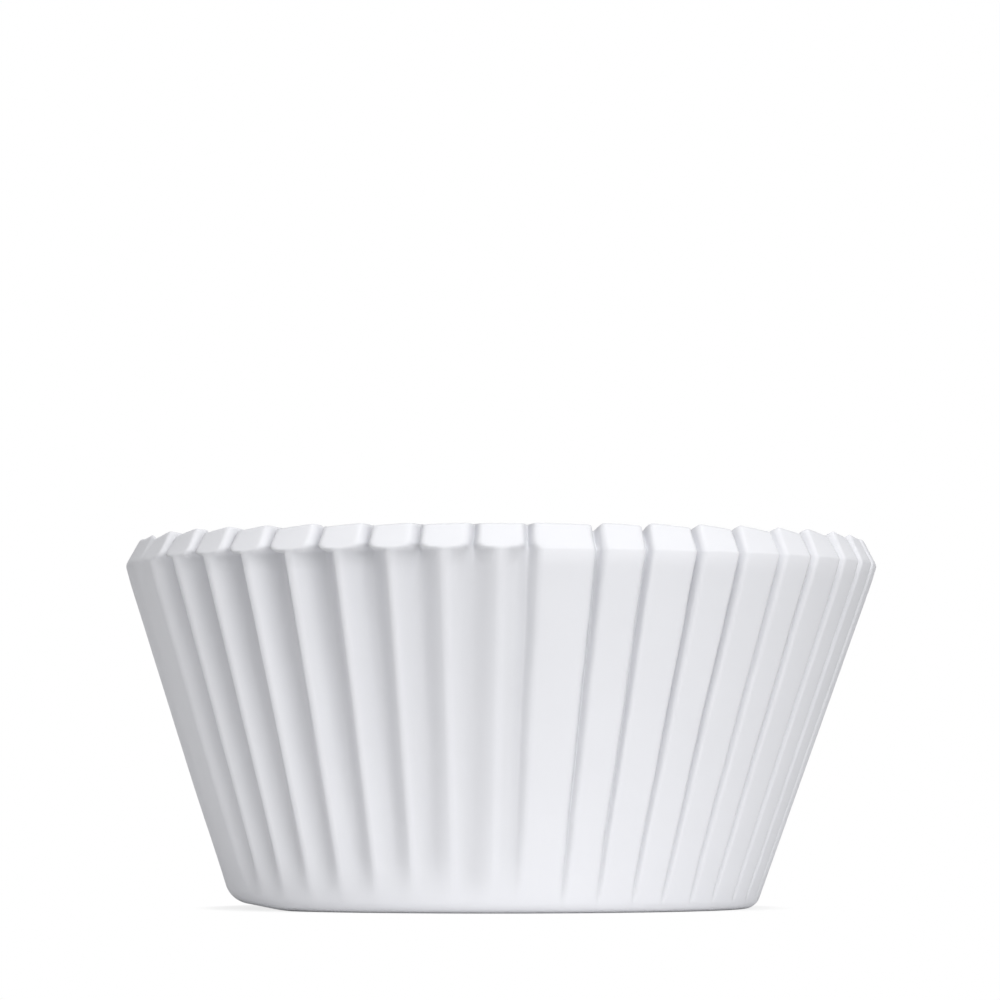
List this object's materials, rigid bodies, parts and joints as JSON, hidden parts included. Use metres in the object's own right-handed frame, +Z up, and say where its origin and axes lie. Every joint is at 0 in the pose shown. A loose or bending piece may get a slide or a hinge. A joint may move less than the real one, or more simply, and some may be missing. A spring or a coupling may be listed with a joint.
{
  "type": "paper baking cup",
  "caption": "White fluted baking cup pressed from one round sheet of paper, with a flat base, leaning pleated wall and turned-in rim; holds batter while it bakes.",
  "frame": {"origin": "middle of the underside of the base, on the surface that the cup stands on", "axes": "+Z up along the cup's axis, out of its mouth; a crest of the fluted wall lies on each of +X, +Y, -X and -Y"},
  "size_m": [0.0712, 0.0712, 0.0351],
  "materials": {
    "white_paper": "uncoated white greaseproof paper, matt and very slightly translucent"
  },
  "bodies": {
    "root": {"fluted_cup": "white_paper"}
  },
  "joints": []
}
